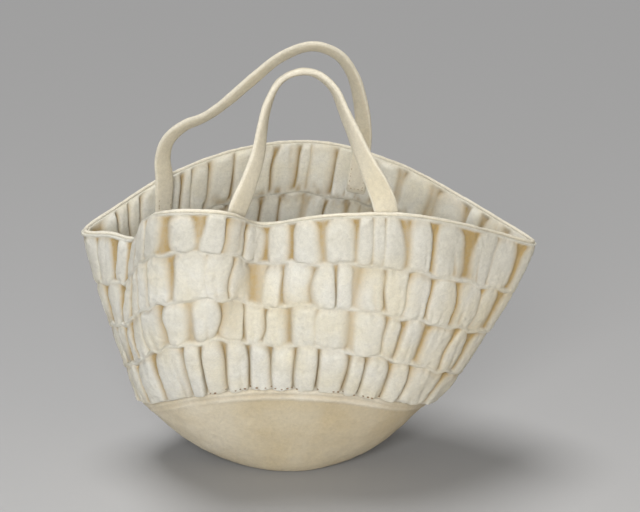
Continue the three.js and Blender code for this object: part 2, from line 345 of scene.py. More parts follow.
def base_middle(u, rho):
    low_edge, edge = seam_curve(u), wall(u, seam_share(u))
    angle = np.arctan2(low_edge[..., 1] / SEAM_HALF_DEPTH, (low_edge[..., 0] - SEAM_SHIFT) / SEAM_HALF_WIDTH)
    flat = np.full_like(angle, FELT / 2)
    patch = np.stack((PATCH[0] * np.cos(angle), PATCH[1] * np.sin(angle), flat), axis=-1)
    turn = patch + (edge - patch) * BASE_TURN
    turn[..., 2] = FELT / 2
    rho = np.asarray(rho)[..., None]
    return patch * (1 - rho) ** 2 + turn * 2 * rho * (1 - rho) + edge * rho**2


def base_out(u, rho):
    low = np.maximum(rho - STEP, 0)
    along = base_middle(u + STEP, rho) - base_middle(u - STEP, rho)
    return unit(np.cross(along, base_middle(u, low + STEP) - base_middle(u, low)))


def base_edge(u, side):
    """The outer (1) or inner (-1) side of the base's edge, just below the seam."""
    v = seam_share(u)
    return wall(u, v) - SEAM_TUCK * wall_up(u, v) + side * FELT / 2 * wall_out(u, v)


base_u, outside_rho = np.meshgrid(
    np.arange(BASE_COLUMNS) / BASE_COLUMNS, 1 - (1 - np.linspace(0, 1, BASE_RINGS)) ** RING_CROWDING
)
base_face = base_middle(base_u, outside_rho)
welt = WELT_AT_SIDES + (1 - WELT_AT_SIDES) * bell(base_face[..., 0] - FRONT_MIDDLE, WELT_REACH)
swell = welt * sum(height * bell(outside_rho - ridge, WELT_RIDGE) for ridge, height in WELT_RIDGES)
swell += WELT_FOLD * ramp(outside_rho, WELT_START, 0.03) * ramp(1 - outside_rho, 0, 0.008)
swell += lumpy(base_face, BASE_DENTS) * ramp(outside_rho, 0, 0.3) * ramp(1 - outside_rho, 0, 0.02)
base_outside = base_face + base_out(base_u, outside_rho) * (FELT / 2 + swell)[..., None]
base_outside[-1] = base_edge(base_u[0], 1)
base_outside[..., 2] = np.maximum(base_outside[..., 2], 0)
inside_u, inside_rho = np.meshgrid(base_u[0], np.linspace(1, 0, BASE_INSIDE_RINGS))
base_inside = base_middle(inside_u, inside_rho)
inside_swell = lumpy(base_inside, BASE_INSIDE_DENTS)
base_inside -= base_out(inside_u, inside_rho) * (FELT / 2 + inside_swell)[..., None]
base_inside[0] = base_edge(base_u[0], -1)
base_loops = np.concatenate((base_outside, base_inside))
base_points = np.vstack((base_loops.reshape(-1, 3), (0, 0, 0), (0, 0, FELT)))
base_faces = ring_faces(len(base_loops), BASE_COLUMNS, False)
below, above = len(base_points) - 2, len(base_points) - 1
last_row = (len(base_loops) - 1) * BASE_COLUMNS
for column in range(BASE_COLUMNS):
    beside = (column + 1) % BASE_COLUMNS
    base_faces += [(below, beside, column), (above, last_row + column, last_row + beside)]
# Painted shade in the groove between the welt's ridges and at the seam with the bottom band.
between = GROOVE_SHADE * bell(outside_rho - WELT_GROOVE, WELT_GROOVE_WIDTH)
between += SEAM_SHADE * ramp(outside_rho, 0.988, 0.012)
# Painted shade, darker towards the base's right side.
base_right_shade = BASE_RIGHT_SHADE * ramp(base_face[..., 0], 0, BASE_RIGHT_SHADE_WIDTH)
# Painted shade all over the inside of the base.
inside_painted_shade = np.full(base_inside[..., 0].size, INSIDE_SHADE)
base_painted_shade = np.concatenate((np.maximum(between * welt, base_right_shade).ravel(), inside_painted_shade, (0, INSIDE_SHADE)))
# Painted highlight along the welt's ridges, left out of its groove.
welt_highlight = WELT_HIGHLIGHT * welt * ramp(outside_rho, 0.925, 0.015) * (1 - between)
# Painted light, paler towards the base's left side.
made_paler = BASE_LEFT_LIGHT * ramp(-base_face[..., 0], BASE_LEFT_LIGHT_START, BASE_LEFT_LIGHT_WIDTH)
base_painted_light = np.concatenate((np.maximum(welt_highlight, made_paler).ravel(), np.zeros(len(inside_painted_shade) + 2)))
# The base's felt is given a darker tan than the bands' cream wool, as painted shade on its downward-facing
# side.
plain_felt = felt_material(
    "plain pressed felt", (0.53, 0.445, 0.29), (0.57, 0.51, 0.385), (0.33, 0.22, 0.1), PALE_WOOL, 0.7, 1.1
)
base = felt_piece("felt_base", base_points, base_faces, plain_felt, base_painted_shade, base_painted_light)
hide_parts("base")
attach(base, "root")


# Gathered bands: four strips of the same felt, each drawn up into upright pleats and stitched along
# its edges, so that the pleats puff out between narrow slits. Each band's upper edge is rolled over
# into a thin ridge where the next one is sewn on, and the backs of the pleats puff into the bag.

ROWS = (0, 0.272, 0.492, 0.72)  # row seams above the base's, as shares of the way up the wall
ROW_LIFT, ROW_LIFT_STATION, ROW_LIFT_SPREAD = 0.09, 12.5, 3  # rise of the rows over the bulge
ROW_WAVER = ((1.0, 19, 0.3), (0.8, 31, 0.17))  # depth, waves round the bag, and shift from row to row
WALL_HEIGHT, WALL_ROUND = 185.0, 1150.0  # about how high the wall is, and how far round the bag it goes
BINDING_COVER = 2.6  # how far below the rim the top band's raw edge lies, inside the binding
LEFT_CORNER = 8 / STATION_COUNT
PLEATS = {  # width, share of a full pleat's height
    # full, from wide to thin
    "X": (40, 1.0), "W": (32, 1.0), "B": (24, 1.0), "M": (19, 1.0), "N": (14, 1.0), "T": (10, 1.0),
    # full, and pressed on the one before
    "w": (32, 1.0), "b": (24, 1.0), "m": (19, 1.0), "n": (14, 1.0), "t": (10, 1.0),
    # half full, and sunk
    "H": (22, 0.75), "D": (18, 0.42), "d": (10, 0.38),
    # open slits
    "S": (9, 0.1), "s": (5, 0.1),
}
PRESSED_PLEATS, SUNK_PLEATS = "wbmnt", "DdSs"
BANDS = (
    # name, cut length in metres, pleat height,
    # pleats on the front from left to right, pleats inside the back from right to left
    ("band_bottom", 1.06, 8.0, "BBWWNMMMMMBNBMXX", "BMBNMBMMNBMBMMBMBB"),
    ("band_lower", 1.1, 6.4, "BbMBwMdMHMMsMbdBNsMsWBsW", "MBsMBdMNBsMmBNdBMsBMMdBM"),
    ("band_upper", 1.2, 5.8, "MBSMSMMbsBmHsdnBMTdMMbWWbsM", "BMSBNMdBMNtsMNdMMMNdBMMsBMMN"),
    ("band_top", 1.28, 6.0, "MmSTSBDMmDTDTHBsMsMdMsTtndMsWDBwsM", "SMsMSTsWdBdMNTNBtBMMBMtBBNNNSd"),
)
INSIDE_PLEAT = 4.4  # height of the backs of the pleats
INSIDE_ROW_LEVELS = (2.5, 4.0, 4.0, 4.0, 2.5)  # how far in the wall stands at each row seam
TUCK, TUCK_WIDTH, TUCK_LENGTH = 4.5, 5.0, 8.0  # height, width and length of the small tucks beside them
TUCK_SHADE = 0.9  # painted shade between the tucks
OUTSIDE_FLOOR, INSIDE_FLOOR = 1.6, 0.4  # how far out of the wall's middle the bottoms of the slits are
LEAST_THICKNESS = 2.0
BAND_HEIGHT = 43.0
PRESS = 0.35  # how far the pleats are pressed together where they touch
CREASED_WIDTH = 15.0  # pleats wider than this may have a crease
ROW_DRAW, ROW_STITCH = 2.8, 1.3  # how far from a row seam its stitches draw the felt in, and press it flat
LINE_STEPS = 3800
BAND_COLUMNS, OUTSIDE_ROWS, INSIDE_ROWS = 1000, 44, 26
ROW_CROWDING = 0.085  # above 0 the outer rows of points crowd together towards the row seams
STRAP_FEET = {  # stations of a strap's left and right end, and how far the felt is padded out behind them
    "handle_front": (13.5, 15.82, 4.5),
    "handle_back": (6.1, 3.48, 5.2),
}
FOOT_PAD = 9.0  # half width of the padding, and how far beside it the padding fades out


def row_height(row, u):
    """Share of the way up the wall of a row seam, with the unevenness of hand sewing."""
    if row == 0:
        return seam_share(u)
    if row == len(BANDS):
        per_share = np.linalg.norm(wall(u, 1) - wall(u, 1 - STEP), axis=-1) / STEP
        return 1 - BINDING_COVER / per_share
    lift = ROW_LIFT * bell(u * STATION_COUNT - ROW_LIFT_STATION, ROW_LIFT_SPREAD)
    waver = sum(depth * np.sin(2 * np.pi * (waves * u + shift * row)) for depth, waves, shift in ROW_WAVER)
    return ROWS[row] + lift + waver / WALL_HEIGHT


def gathers(slits, kinds, total, low_round, top_round, lean, limpness, seed):
    """How each pleat of a row hangs: how it leans, how full it is and how it presses on the next one."""
    rng = np.random.default_rng(seed)
    count = len(slits)
    widths = np.diff(np.append(slits, slits[0] + total))
    room = np.minimum(widths, np.roll(widths, 1))
    pressed = np.isin(kinds, list(PRESSED_PLEATS))
    sunk = np.isin(kinds, list(SUNK_PLEATS))
    reach = np.where(pressed, rng.uniform(1.08, 1.18, count), rng.uniform(0.96, 1.03, count))
    closing = np.clip(rng.normal(0, 0.05, count), -0.1, 0.1)
    steep, gentle = rng.uniform(3.4, 5.6, count), rng.uniform(2.2, 3.4, count)
    folded = rng.uniform(0, 1, count) < 0.75  # most pleats are folded over to one side
    steep, gentle = np.where(sunk, 2.2, steep), np.where(sunk, 1.8, gentle)
    left_round, right_round = np.where(folded, steep, gentle), np.where(folded, gentle, steep)
    left_reach, right_reach = reach.copy(), np.roll(reach, -1) * np.where(folded, 1.04, 1.0)
    left_closing, right_closing = closing.copy(), np.roll(closing, -1)
    spread, opening = rng.uniform(0.7, 1.0, count), rng.uniform(0.2, 0.45, count)
    opening *= np.where(rng.uniform(0, 1, count) < 0.7, 1, -1)  # most sunk pleats close up downwards
    for k in np.flatnonzero(sunk):  # the pleats beside a sunk one slope down into it
        before, after = (k - 1) % count, (k + 1) % count
        if not sunk[before]:
            share = widths[k] / widths[before]
            right_reach[before], right_closing[before] = 1 + spread[k] * share, -opening[k] * share
            right_round[before] = 1.5 + 0.8 * spread[after]
        if not sunk[after]:
            share = widths[k] / widths[after]
            left_reach[after], left_closing[after] = 1 + spread[k] * share, -opening[k] * share
            left_round[after] = 1.9 + 1.2 * spread[before]
    tilt = np.where(sunk, rng.choice((-0.45, 0.45), count), rng.normal(0, 0.1, count))
    return {
        "slits": slits,
        "total": total,
        "lean": (lean + limpness * np.clip(rng.normal(0, 0.12, count), -0.25, 0.25)) * room,
        "bow": limpness * np.clip(rng.normal(0, 0.08, count), -0.16, 0.16) * room,
        "wave": rng.uniform(0, 6.28, count),
        "waviness": limpness * rng.uniform(0.02, 0.05, count) * room,
        "left_reach": left_reach,
        "right_reach": right_reach,
        "left_closing": left_closing,
        "right_closing": right_closing,
        "left_round": left_round,
        "right_round": right_round,
        "low_round": rng.uniform(*low_round, count),
        "top_round": rng.uniform(*top_round, count),
        "bottom": rng.uniform(-0.07, 0.0, count),
        "top": rng.uniform(0.99, 1.06, count),
        "height": np.array([PLEATS[kind][1] for kind in kinds]) * rng.uniform(0.86, 1.1, count),
        "tilt": tilt,
        "nod": rng.normal(0, 0.1, count),
        "crease": rng.uniform(-0.5, 0.5, count),
        "crease_depth": np.where(
            (widths > CREASED_WIDTH) & (rng.uniform(0, 1, count) < 0.6), rng.uniform(0.1, 0.35, count), 0
        ),
        "crease_end": rng.uniform(-1.2, 1.2, count),
    }


def slit_lines(pleats, share):
    """Distance round the band of every slit, for each share of the way up."""
    s = np.asarray(share)[:, None]
    return (
        pleats["slits"]
        + pleats["lean"] * (s - 0.5)
        + pleats["bow"] * (np.sin(np.pi * s) - 0.6)
        + pleats["waviness"] * np.sin(7 * s + pleats["wave"])
    )


def gathered_face(pleats, distance, share, tall, levels, floor):
    """How far a gathered face stands out, and how deep down beside its pleats each place is."""
    lines = slit_lines(pleats, share)
    total, count = pleats["total"], lines.shape[1]
    ends = np.concatenate((lines[:, -2:] - total, lines, lines[:, :3] + total), axis=1)
    distance = lines[:, :1] + (distance - lines[:, :1]) % total
    tall = np.broadcast_to(tall, distance.shape)
    height, hollow_shade = np.zeros_like(distance), np.zeros_like(distance)
    for row, s in enumerate(share):
        spot = np.clip(np.searchsorted(ends[row], distance[row], side="right") - 1, 1, count + 2)
        puffs = []
        for step in (-1, 0, 1):  # the pleat on the left, the place's own and the one on the right
            left, right, k = ends[row][spot + step], ends[row][spot + step + 1], (spot + step - 2) % count
            across = 2 * (distance[row] - left) / (right - left) - 1
            low, high = pleats["bottom"][k], pleats["top"][k]
            upright = 2 * (s - low) / (high - low) - 1
            reach = np.where(across < 0, pleats["left_reach"][k], pleats["right_reach"][k])
            closing = np.where(across < 0, pleats["left_closing"][k], pleats["right_closing"][k])
            rounding = np.where(across < 0, pleats["left_round"][k], pleats["right_round"][k])
            ending = np.where(upright < 0, pleats["low_round"][k], pleats["top_round"][k])
            beside = np.abs(across) / (reach + upright * closing)
            swollen = np.clip(1 - beside**rounding - np.abs(upright) ** ending, 0, 1) ** 0.5
            line = across - pleats["crease"][k] - 0.25 * upright * pleats["crease_end"][k]
            creased = np.clip(0.4 + upright * pleats["crease_end"][k], 0, 1) * bell(line, 0.16)
            full = pleats["height"][k] * (1 + pleats["tilt"][k] * across + pleats["nod"][k] * upright)
            full = full - pleats["crease_depth"][k] * creased
            puffs.append((FELT / 2 + tall[row] * full - floor) * swollen)
        near, level = (s, levels[0]) if s < 0.5 else (1 - s, levels[1])
        puffs.append(np.full_like(left, (level - floor) * bell(near * BAND_HEIGHT, ROW_DRAW)))
        puffs = np.array(puffs)
        most = puffs.max(axis=0)
        most = most + PRESS * np.log(np.exp((puffs - most) / PRESS).sum(axis=0))
        sewn = bell(near * BAND_HEIGHT, ROW_STITCH)
        most = most * (1 - sewn) + (level - floor) * sewn
        height[row] = floor + most
        # Painted shade: the further a place lies below a full pleat's crown, the more fold shade colour it
        # gets.
        hollow_shade[row] = np.clip(1 - most / (0.85 * (FELT / 2 + tall[row] - floor)), 0, 1)
    return height, hollow_shade


def band_line(band):
    """Fine steps round a band's middle line: u, distance from the right corner."""
    u = np.linspace(0, 1, LINE_STEPS + 1)
    line = wall(u, (row_height(band, u) + row_height(band + 1, u)) / 2)
    return u, np.concatenate(([0], np.cumsum(np.linalg.norm(np.diff(line, axis=0), axis=1))))


def band_pleats(band):
    """Slits of a band's outer and inner face, as distances round it, each with the pleats' kinds.

    A pleat that is full on one face leaves a slit on the other, so the outside of the back and the
    inside of the front are found from the pleats charted for the other face.
    """
    u, distance = band_line(band)
    corner = np.interp(LEFT_CORNER, u, distance)
    halves = []
    for chart, start, end in ((BANDS[band][4], 0, corner), (BANDS[band][3], corner, distance[-1])):
        widths = np.array([PLEATS[kind][0] for kind in chart], float)
        widths *= (end - start) / widths.sum()
        charted = start + np.cumsum(widths) - widths
        behind = (charted + widths / 2)[~np.isin(list(chart), list(SUNK_PLEATS))]
        halves.append((charted, list(chart), behind, ["M"] * len(behind)))
    inner_back, back_kinds, outer_back, plain_back = halves[0]
    outer_front, front_kinds, inner_front, plain_front = halves[1]
    return (
        (np.concatenate((outer_back, outer_front)), plain_back + front_kinds),
        (np.concatenate((inner_back, inner_front)), back_kinds + plain_front),
    )


def band_place(band, distance, share):
    """u and v on the wall of places given by distance round a band and share of the way up it."""
    u_fine, d_fine = band_line(band)
    u = np.interp(distance % d_fine[-1], d_fine, u_fine)
    low, high = row_height(band, u), row_height(band + 1, u)
    return u, low + (high - low) * share[:, None]


ROW_LEVELS = (3.4, 5.8, 5.0, 4.6, 4.4)  # how far out the wall stands at each row seam
ROW_RIDGE, ROW_RIDGE_WIDTH = 0.25, 1.3  # height and width of the ridge along a row seam
LIMPNESS = (0.4, 1, 1, 1)  # how far the pleats of each band hang askew
SIDE_START, SIDE_WIDTH = 75.0, 75.0  # where the two sides begin, and how far on they are fully drawn
SIDE_SLACK = 0.4  # how much flatter the pleats are at the two sides
SAG, SAG_SIZE = 2.2, 46  # how far, and over what width, the limp wall dips and swells
PLEAT_LUMPS = ((1.0, 14, 11), (0.4, 6, 21))  # depth, size and seed of the lumps on the pleats
NAP_LUMPS = ((0.35, 2.8, 31),)  # and of the clumps of wool all over
BACK_LUMPS = ((0.6, 12, 41), (0.3, 5, 45))  # and of the lumps on the backs of the pleats
PINCH, PINCH_WIDTH, PINCH_LENGTH = 1.3, 4.2, 8.0  # height, width and length of the pinches at a row seam
BAND_RIGHT_SHADE = 0.22  # painted shade on the bands' right side, stronger lower down
SLIT_SHADES = (1.0, 0.95, 0.95, 1.35)  # painted shade in the slits and sunk pleats of each band
SIDE_SHADE = 0.7  # how much more painted shade they get at the two sides
BACK_SHADE = 1.2  # painted shade in the slits between the backs of the pleats
TOP_BAND_SHADE = 0.65  # greyer painted shade on the top band's crowns near the rim
VALLEY, VALLEY_HALF_WIDTH = 4.0, 0.33  # depth of the valley right of the bulge, and its width in stations
VALLEY_STATION, VALLEY_SLANT = 14.0, 1.6  # where it starts at the rim, and how far left it runs
# painted shade in the valley right of the bulge
VALLEY_SHADE = 0.18


def valley(u, v):
    """How far down the valley a place is: it runs from the dip in the rim down and to the left."""
    middle = VALLEY_STATION - VALLEY_SLANT * np.clip(0.85 - v, 0, 1)
    return bell(u % 1 * STATION_COUNT - middle, VALLEY_HALF_WIDTH) * ramp(v, 0.2, 0.25)


def sag(points, u, v):
    """How far the limp wall swells out, or dips into the valley."""
    swelling = SAG * lumps(points, SAG_SIZE, 7) * np.clip(4 * v * (1 - v), 0, 1)
    return swelling - VALLEY * valley(u, v) * np.clip(4 * (1 - v), 0, 1)


def outside_offset(band, pleats, distance, share, points):
    """How far a band's outer face stands out of the wall's middle, and how much painted shade it gets there.
    """
    drawn = ramp(np.abs(points[..., 0] - BELLY_CENTRE), SIDE_START, SIDE_WIDTH)
    fullness = 1 - SIDE_SLACK * drawn
    offset, hollow_shade = gathered_face(
        pleats, distance, share, BANDS[band][2] * fullness, ROW_LEVELS[band : band + 2], OUTSIDE_FLOOR
    )
    soft = (1 - 0.65 * hollow_shade) * fullness
    offset += soft * lumpy(points, PLEAT_LUMPS) + lumpy(points, NAP_LUMPS)
    up, down = (share * BAND_HEIGHT)[:, None], ((1 - share) * BAND_HEIGHT)[:, None]
    for from_row, row in ((up, band), (down, band + 1)):
        places = np.stack((distance / PINCH_WIDTH, 0 * distance, 0 * distance + from_row / 40), axis=-1)
        pinched = PINCH * lumps(places, 1.0, 35 + row)
        offset += pinched * bell(from_row, PINCH_LENGTH) * ramp(from_row, 0, 2) * soft
        if 0 < row < len(BANDS):
            proud = ROW_RIDGE * (0.75 + 0.5 * lumps(points, 23, 55 + row))
            offset += proud * bell(from_row, ROW_RIDGE_WIDTH)
        hollow_shade = hollow_shade * (1 - 0.75 * bell(from_row, 3.0))
    # Painted shade in the slits, stronger at the two sides.
    shade = SLIT_SHADES[band] + SIDE_SHADE * drawn
    return np.maximum(offset, OUTSIDE_FLOOR - 0.4), np.clip(hollow_shade * shade, 0, 1)


def band_columns(pleats, share):
    """Distances round a band of its columns of points, which crowd together beside the slits."""
    lines, total = slit_lines(pleats, share), pleats["total"]
    widths = np.diff(np.append(pleats["slits"], pleats["slits"][0] + total))
    counts = np.maximum(np.round(widths / total * BAND_COLUMNS).astype(int), 4)
    counts[np.argmax(counts)] += BAND_COLUMNS - counts.sum()
    beside = np.concatenate((lines[:, 1:], lines[:, :1] + total), axis=1)
    spaced = [(1 - np.cos(np.pi * np.arange(count) / count)) / 2 for count in counts]
    return np.concatenate(
        [lines[:, [k]] + (beside - lines)[:, [k]] * across for k, across in enumerate(spaced)], axis=1
    )


def outer_pleats(band):
    slits, kinds = band_pleats(band)[0]
    return gathers(
        slits, kinds, band_line(band)[1][-1],
        low_round=(7, 12), top_round=(3.2, 5.5), lean=0, limpness=LIMPNESS[band], seed=100 + band,
    )


def inner_pleats(band):
    slits, kinds = band_pleats(band)[1]
    return gathers(
        slits, kinds, band_line(band)[1][-1],
        low_round=(4, 9), top_round=(3, 6), lean=-0.25, limpness=1, seed=200 + band,
    )


def band_outside(band, pleats):
    """Points of a band's outer face from its foot up, their painted shade, the top band's greyer painted
    shade, and where it starts.
    """
    rise = np.linspace(0, 1, OUTSIDE_ROWS)
    share = rise - ROW_CROWDING * np.sin(2 * np.pi * rise)
    distance = band_columns(pleats, share)
    u, v = band_place(band, distance, share)
    middle = wall(u, v)
    offset, hollow_shade = outside_offset(band, pleats, distance, share, middle)
    points = middle + wall_out(u, v) * (offset + sag(middle, u, v))[..., None]
    # Painted shade on the right side, stronger lower down.
    band_right_shade = BAND_RIGHT_SHADE * ramp(middle[..., 0], 60, 120) * np.clip(1.4 - middle[..., 2] / 200, 0, 1)
    # Greyer painted shade on the crowns near the rim.
    painted_light_and_wear = TOP_BAND_SHADE * ramp(v, 0.7, 0.12) * (1 - hollow_shade)
    # Painted shade in the valley, and on the right side.
    shaded = np.maximum(VALLEY_SHADE * valley(u, v), band_right_shade)
    return points, np.maximum(hollow_shade, shaded), painted_light_and_wear, distance[0, 0]


def band_inside(band, pleats, start):
    """Points of a band's inner face from its top down, and their painted shade."""
    backs = inner_pleats(band)
    share = np.linspace(1, 0, INSIDE_ROWS)
    distance = band_columns(backs, share)
    ahead = np.searchsorted(distance[0], start)
    distance = np.concatenate((distance[:, ahead:], distance[:, :ahead] + backs["total"]), axis=1)
    u, v = band_place(band, distance, share)
    middle = wall(u, v)
    levels = INSIDE_ROW_LEVELS[band : band + 2]
    inset, hollow_shade = gathered_face(backs, distance, share, INSIDE_PLEAT, levels, INSIDE_FLOOR)
    inset += (1 - hollow_shade) * lumpy(middle, BACK_LUMPS)
    from_row = (np.minimum(share, 1 - share) * BAND_HEIGHT)[:, None]
    level = np.where(share < 0.5, *levels)[:, None]
    sewn = bell(from_row, 1.6)
    inset = inset * (1 - sewn) + (level + 0.9 * lumps(middle, 6.5, 47)) * sewn
    hollow_shade = hollow_shade * (1 - 0.8 * bell(from_row, 4.0))
    for row, rise in ((band, share), (band + 1, 1 - share)):
        if 0 < row < len(BANDS):
            from_row = (rise * BAND_HEIGHT)[:, None] + 0 * distance
            places = np.stack((distance, 0 * from_row, from_row / 2), axis=-1)
            tucks = lumps(places, TUCK_WIDTH, 75 + row)
            near = bell(from_row, TUCK_LENGTH) * ramp(from_row, 0, 2)
            inset += TUCK * tucks * near
            # Painted shade between the tucks.
            hollow_shade = np.maximum(hollow_shade, TUCK_SHADE * np.clip(-tucks, 0, 1) * near)
    for left_foot, right_foot, padding in STRAP_FEET.values():
        for foot in (left_foot, right_foot):
            away = np.abs((u - foot / STATION_COUNT + 0.5) % 1 - 0.5) * WALL_ROUND
            flat = ramp(2 * FOOT_PAD - away, 0, FOOT_PAD) * ramp(v, 0.72, 0.06)
            inset = padding * flat + inset * (1 - flat)
            hollow_shade = hollow_shade * (1 - flat)
    face, _ = outside_offset(band, pleats, distance, share, middle)
    inset = np.maximum(inset, LEAST_THICKNESS - face)
    points = middle - wall_out(u, v) * (inset - sag(middle, u, v))[..., None]
    # Painted shade between the backs of the pleats.
    return points, np.minimum(BACK_SHADE * hollow_shade, 1)


def make_band(band, material):
    name, cut_length = BANDS[band][:2]
    pleats = outer_pleats(band)
    outer, outer_hollow_shade, outer_top_band_shade, start = band_outside(band, pleats)
    inner, inner_hollow_shade = band_inside(band, pleats, start)
    points = np.concatenate((outer, inner))
    around = points.shape[1]
    faces = ring_faces(len(points), around, True)
    top_edge = range((OUTSIDE_ROWS - 1) * around, OUTSIDE_ROWS * around)
    bottom_edge = range(len(faces) - around, len(faces))
    hollow_shade = np.concatenate((outer_hollow_shade, inner_hollow_shade))
    painted_light_and_wear = np.concatenate((outer_top_band_shade, np.zeros_like(inner_hollow_shade)))
    piece = felt_piece("felt_" + name, points, faces, material, hollow_shade, painted_light_and_wear, [*top_edge, *bottom_edge])
    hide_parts(name)
    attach(piece, "root")
    return piece


# The fold colour is painted shade, and the greyer second colour is painted shade near the rim.
pleated_felt = felt_material(
    "gathered felt", (0.905, 0.89, 0.81), (0.9, 0.84, 0.66), (0.51, 0.35, 0.13), (0.7, 0.69, 0.63), 0.75, 2.6
)
for band in range(len(BANDS)):
    make_band(band, pleated_felt)


# Seam stitches: short stitches of dark waxed thread through the feet of the bottom band's pleats,
# which hold the band to the base's welt.

STITCH_PITCH, STITCH_WANDER = 4.6, 0.9  # distance from stitch to stitch, and how far each strays
STITCHES_SHOWN = 0.72  # share of the stitches that lie on top of the felt
STITCH_UP = 0.1  # share of the way up the bottom band
STITCH_LENGTH, STITCH_THREAD = 2.6, 1.6
STITCH_UNEVENNESS = 0.45
THREAD_LIFT = 0.15  # how far the middle of a stitch's thread stands off the felt
PLY_SCALE = 1600  # how many mottles of the plies go to a metre


def geometry_tree(name, inputs):
    """A node tree that works on a shape, and the identifiers of its named inputs."""
    tree = bpy.data.node_groups.new(name, "GeometryNodeTree")
    tree.interface.new_socket("Geometry", in_out="INPUT", socket_type="NodeSocketGeometry")
    identifiers = [
        tree.interface.new_socket(label, in_out="INPUT", socket_type=kind).identifier
        for label, kind in inputs
    ]
    tree.interface.new_socket("Geometry", in_out="OUTPUT", socket_type="NodeSocketGeometry")
    return tree, identifiers


def finish_tree(tree, shape, material):
    """End a node tree: copies made real, shaded smooth and given their material."""
    made = add_node(tree, "GeometryNodeRealizeInstances", {"Geometry": shape})
    rounded = add_node(tree, "GeometryNodeSetShadeSmooth", {"Geometry": made.outputs["Geometry"]})
    dyeing = {"Geometry": rounded.outputs["Geometry"], "Material": material}
    dyed = add_node(tree, "GeometryNodeSetMaterial", dyeing)
    add_node(tree, "NodeGroupOutput", {"Geometry": dyed.outputs["Geometry"]})


def stitching_tree():
    """Stitches on points that know which way the seam runs and which way the felt faces."""
    tree, identifiers = geometry_tree("hand stitches", (
        ("Stitch Length", "NodeSocketFloat"), ("Thread Thickness", "NodeSocketFloat"),
        ("Unevenness", "NodeSocketFloat"), ("Seed", "NodeSocketInt"), ("Thread", "NodeSocketMaterial"),
    ))
    given = add_node(tree, "NodeGroupInput").outputs
    stitch = add_node(tree, "GeometryNodeMeshUVSphere", {"Radius": 0.5, "Segments": 8, "Rings": 5})
    out, along = (
        add_node(tree, "GeometryNodeInputNamedAttribute", {"Name": label}, data_type="FLOAT_VECTOR")
        for label in ("out", "along")
    )
    axes = {0: out.outputs["Attribute"], 1: along.outputs["Attribute"]}
    lay = add_node(tree, "FunctionNodeAxesToRotation", axes, primary_axis="Z", secondary_axis="X")
    sizes = {"X": given["Stitch Length"], "Y": given["Thread Thickness"], "Z": given["Thread Thickness"]}
    size = add_node(tree, "ShaderNodeCombineXYZ", sizes)
    smallest = add_node(tree, "ShaderNodeMath", {0: 1.0, 1: given["Unevenness"]}, operation="SUBTRACT")
    chance = {2: smallest.outputs["Value"], "Seed": given["Seed"]}
    uneven = add_node(tree, "FunctionNodeRandomValue", chance, data_type="FLOAT")
    scaling = {0: size.outputs["Vector"], "Scale": uneven.outputs[1]}
    scaled = add_node(tree, "ShaderNodeVectorMath", scaling, operation="SCALE")
    placed = add_node(tree, "GeometryNodeInstanceOnPoints", {
        "Points": given["Geometry"],
        "Instance": stitch.outputs["Mesh"],
        "Rotation": lay.outputs["Rotation"],
        "Scale": scaled.outputs["Vector"],
    })
    finish_tree(tree, placed.outputs["Instances"], given["Thread"])
    return tree, identifiers


stitching, stitch_inputs = stitching_tree()


def sewn_mesh(name, tree, identifiers, values, source):
    """The plain mesh that a node tree makes from an object, which is then thrown away."""
    maker = source.modifiers.new("maker", "NODES")
    maker.node_group = tree
    for identifier, value in zip(identifiers, values):
        maker[identifier] = value
    evaluated = source.evaluated_get(bpy.context.evaluated_depsgraph_get())
    mesh = bpy.data.meshes.new_from_object(evaluated)
    mesh.name = name
    source.modifiers.remove(maker)
    bpy.data.objects.remove(source)
    piece = bpy.data.objects.new(name, mesh)
    bpy.context.collection.objects.link(piece)
    return piece


def stitch_row(name, points, along, out, length, thread, seed, material):
    mesh = bpy.data.meshes.new(name)
    mesh.from_pydata((points / 1000).tolist(), [], [])
    for label, vectors in (("along", along), ("out", out)):
        kept = mesh.attributes.new(label, "FLOAT_VECTOR", "POINT")
        kept.data.foreach_set("vector", np.ascontiguousarray(vectors.ravel(), dtype=np.float32))
    source = bpy.data.objects.new(name + " places", mesh)
    bpy.context.collection.objects.link(source)
    values = (length / 1000, thread / 1000, STITCH_UNEVENNESS, seed, material)
    return sewn_mesh(name, stitching, stitch_inputs, values, source)


def thread_material(name, colour, dark):
    """Twisted thread: finely mottled by its plies, with painted shade standing for the grooves between them.
    """
    material = bpy.data.materials.new(name)
    material.use_nodes = True
    tree = material.node_tree
    place = add_node(tree, "ShaderNodeTexCoord").outputs["Object"]
    plies = {"Vector": place, "Scale": PLY_SCALE, "Detail": 2}
    ply = add_node(tree, "ShaderNodeTexNoise", plies).outputs["Fac"]
    shades = {"Factor": ply, "A": (*dark, 1), "B": (*colour, 1)}
    tint = add_node(tree, "ShaderNodeMix", data_type="RGBA")
    set_inputs(tree, tint, shades)
    bump = add_node(tree, "ShaderNodeBump", {"Distance": 0.0003, "Height": ply})
    finish = {"Base Color": tint.outputs["Result"], "Normal": bump.outputs["Normal"], "Roughness": 0.75}
    set_inputs(tree, tree.nodes["Principled BSDF"], finish)
    return material


